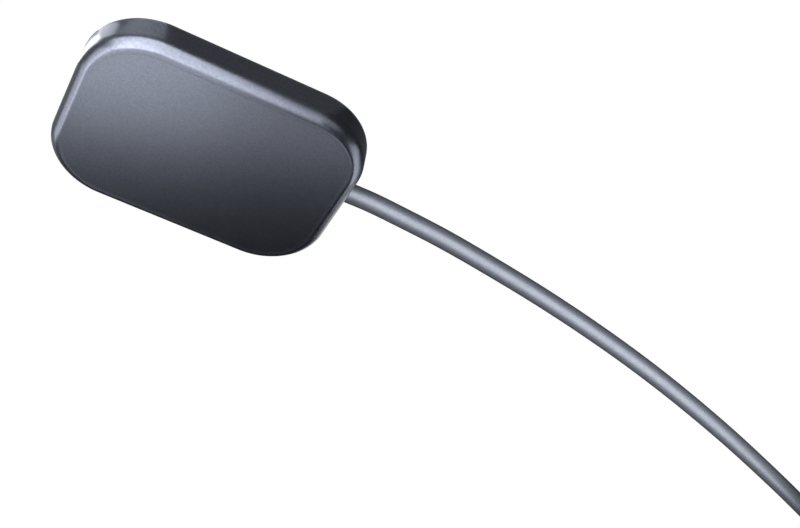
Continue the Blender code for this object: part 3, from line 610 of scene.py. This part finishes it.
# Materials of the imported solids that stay
FINISHES = {
    "cover_seal": surface("seal", (0.015, 0.015, 0.016), (0.026, 0.026, 0.028), 0.72, 1500.0),
    "cord_grommet": surface("grommet", (0.024, 0.025, 0.030), (0.036, 0.037, 0.045), 0.6, 1500.0),
    "cord_anchor": surface("anchor", (0.040, 0.042, 0.048), (0.060, 0.062, 0.068), 0.55, 900.0),
    "front_foam": surface("foam", (0.045, 0.045, 0.048), (0.075, 0.075, 0.078), 0.95, 4000.0),
    "scintillator": surface("scintillator", (0.78, 0.80, 0.74), (0.86, 0.88, 0.82), 0.45, 3000.0),
    "fibre_optic_plate": surface("fibre", (0.10, 0.13, 0.14), (0.14, 0.17, 0.18), 0.12, 6000.0),
    "image_sensor": surface("chip", (0.08, 0.07, 0.12), (0.10, 0.09, 0.14), 0.18, 5000.0, 0.3),
    "sensor_carrier": surface("carrier", (0.74, 0.72, 0.68), (0.82, 0.80, 0.76), 0.5, 1200.0),
    "stack_frame": surface("frame", (0.050, 0.052, 0.058), (0.070, 0.072, 0.078), 0.5, 900.0),
    "radiation_shield": surface("shield", (0.28, 0.28, 0.29), (0.38, 0.38, 0.39), 0.45, 700.0, 1.0),
    "circuit_board": surface("board", (0.010, 0.10, 0.035), (0.020, 0.14, 0.055), 0.4, 800.0),
    "thermal_pad": surface("pad", (0.30, 0.37, 0.49), (0.36, 0.43, 0.55), 0.85, 1500.0),
    "plug_insulator": surface("tongue", (0.74, 0.74, 0.73), (0.82, 0.82, 0.81), 0.45, 1500.0),
    "clock_crystal": surface("can", (0.64, 0.63, 0.60), (0.72, 0.71, 0.68), 0.3, 900.0, 1.0),
}
packages = surface("package", (0.015, 0.015, 0.017), (0.024, 0.024, 0.026), 0.52, 2500.0)
ceramic = surface("capacitor", (0.40, 0.29, 0.19), (0.50, 0.37, 0.25), 0.5, 3000.0)
gilt = surface("gilt", (0.82, 0.61, 0.24), (0.88, 0.67, 0.28), 0.25, 900.0, 1.0)
for name in ("processor_chip", "memory_chip", "voltage_regulator"):
    FINISHES[name] = packages
for number in range(1, 5):
    FINISHES[f"capacitor_{number}"] = ceramic
    FINISHES[f"plug_contact_{number}"] = gilt
for name, colour in (
    ("red", (0.45, 0.015, 0.015)),
    ("black", (0.012, 0.012, 0.012)),
    ("green", (0.015, 0.26, 0.05)),
    ("white", (0.74, 0.74, 0.72)),
):
    paler = tuple(1.15 * part for part in colour)
    FINISHES[f"wire_{name}"] = surface(f"wire_{name}", colour, paler, 0.45, 2000.0)
for name, mat in FINISHES.items():
    node = bpy.data.objects[name]
    node.data.materials.clear()
    node.data.materials.append(mat)

plug_names = ["tie", "relief", "grip", "plug_case", "plug_insulator"]
plug_names += [f"plug_contact_{number}" for number in range(1, 5)]

# Floor and light
floor_mat, _, shader = node_material("floor")
shader.inputs["Base Color"].default_value = (0.10, 0.10, 0.10, 1.0)
shader.inputs["Roughness"].default_value = 0.9
shader.inputs["Specular IOR Level"].default_value = 0.0
shader.inputs["Emission Color"].default_value = (1.0, 1.0, 1.0, 1.0)
shader.inputs["Emission Strength"].default_value = 1.0
bpy.ops.mesh.primitive_plane_add(size=6.0, location=(0.0, 0.0, -0.00003))
floor = bpy.context.object
floor.name = "floor"
floor.data.materials.append(floor_mat)

world = bpy.data.worlds.new("room")
world.use_nodes = True
background = world.node_tree.nodes["Background"]
background.inputs["Color"].default_value = (0.92, 0.94, 1.0, 1.0)
background.inputs["Strength"].default_value = 0.06
scene.world = world

COOL = (0.955, 0.972, 1.0)
WARM = (1.0, 1.0, 0.97)
BODY_MIDDLE = (0.0, 0.0, 5.0)


def soft_light(name, centre, size, radiance, reach, aim=BODY_MIDDLE, colour=COOL):
    """Rectangular soft light on a group of pieces, placed and aimed in millimetres."""
    data = bpy.data.lights.new(name, "AREA")
    data.shape = "RECTANGLE"
    data.size, data.size_y = (side * MM for side in size)
    data.energy = math.pi * radiance * data.size * data.size_y
    data.color = colour
    light = bpy.data.objects.new(name, data)
    scene.collection.objects.link(light)
    light.location = Vector(centre) * MM
    away = Vector(aim) - Vector(centre)
    light.rotation_euler = away.to_track_quat("-Z", "Y").to_euler()
    light.visible_camera = False
    light.light_linking.receiver_collection = reach


def reach_of(name, pieces):
    """The pieces that a group of lights is screened to."""
    group = bpy.data.collections.new(name)
    for piece in pieces:
        group.objects.link(piece)
    return group


plug_side = [bpy.data.objects[name] for name in plug_names]
others = {lead, floor, *plug_side}
body_side = [obj for obj in scene.objects if obj.type == "MESH" and obj not in others]
on_both = reach_of("lit_both", body_side)
on_body = reach_of("lit_body", [obj for obj in body_side if obj is not face])
on_face = reach_of("lit_face", [face])
on_lead = reach_of("lit_lead", [lead])
on_plug_side = reach_of("lit_plug", plug_side)
floor.light_linking.receiver_collection = reach_of("lit_by_floor", plug_side)

# Soft lights round the body; the face has weaker ones of its own, most in the same places
LEFT = (-163.0, -77.0, 116.0), (213.0, 133.0)
BEHIND_LEFT = (-95.0, 138.0, 74.0), (280.0, 326.0)
RIGHT_SIDE = (164.0, -32.0, 40.0), (163.0, 110.0)
soft_light("left", *LEFT, 4.6, on_body)
soft_light("behind_left", *BEHIND_LEFT, 7.8, on_body)
soft_light("over_left", (-30.0, 1.0, 62.0), (122.0, 89.0), 3.1, on_both)
soft_light("overhead", (-17.0, 18.0, 191.0), (255.0, 122.0), 1.0, on_both)
soft_light("right", *RIGHT_SIDE, 3.5, on_body)
soft_light("low_left", (-135.0, -125.0, 24.0), (80.0, 36.0), 4.4, on_body)
soft_light("front_strip", (11.0, -29.0, 59.0), (81.0, 22.0), 1.8, on_both)
soft_light("face_left", *LEFT, 1.8, on_face)
soft_light("face_behind", *BEHIND_LEFT, 1.6, on_face)
soft_light("face_right", *RIGHT_SIDE, 1.0, on_face)
soft_light("face_beyond", (150.0, 110.0, 70.0), (220.0, 140.0), 1.0, on_face)
soft_light("behind_right", (88.0, 153.0, 99.0), (95.0, 75.0), 1.4, on_body)

# Upward lights just over the floor, for the floor's reflection in the body
for name, (x, y, z), size, radiance in (
    ("floor_left", (-48.5, -10.0, 0.3), (53.0, 40.0), 0.1),
    ("floor_behind", (-45.5, 35.0, 0.3), (59.0, 50.0), 0.28),
    ("floor_corner", (-28.0, 4.5, 0.35), (10.0, 9.0), 8.0),
    ("floor_beside", (-23.5, 11.0, 0.4), (6.0, 5.0), 2.6),
    ("floor_right", (34.0, -13.0, 0.35), (20.0, 24.0), 1.2),
    ("floor_back", (-19.0, 20.0, 0.35), (13.0, 10.0), 1.0),
    ("floor_glow", (-1484.0, 0.0, 0.25), (3000.0, 3000.0), 0.2),
    ("floor_all", (0.0, 0.0, 0.27), (3000.0, 3000.0), 0.13),
):
    soft_light(name, (x, y, z), size, radiance, on_body, (x, y, 9.0))

# Long light beside the lead and along it, and one over the plug
LEAD_STRIP = (80.0, 24.0, 40.0), (364.0, 70.0)
PLUG_OVER = (190.0, 60.0, 240.0), (240.0, 240.0)
soft_light("lead_strip", *LEAD_STRIP, 5.0, on_lead, (65.0, -8.0, 2.0), WARM)
soft_light("plug_over", *PLUG_OVER, 2.6, on_plug_side, (160.0, -10.0, 5.0))
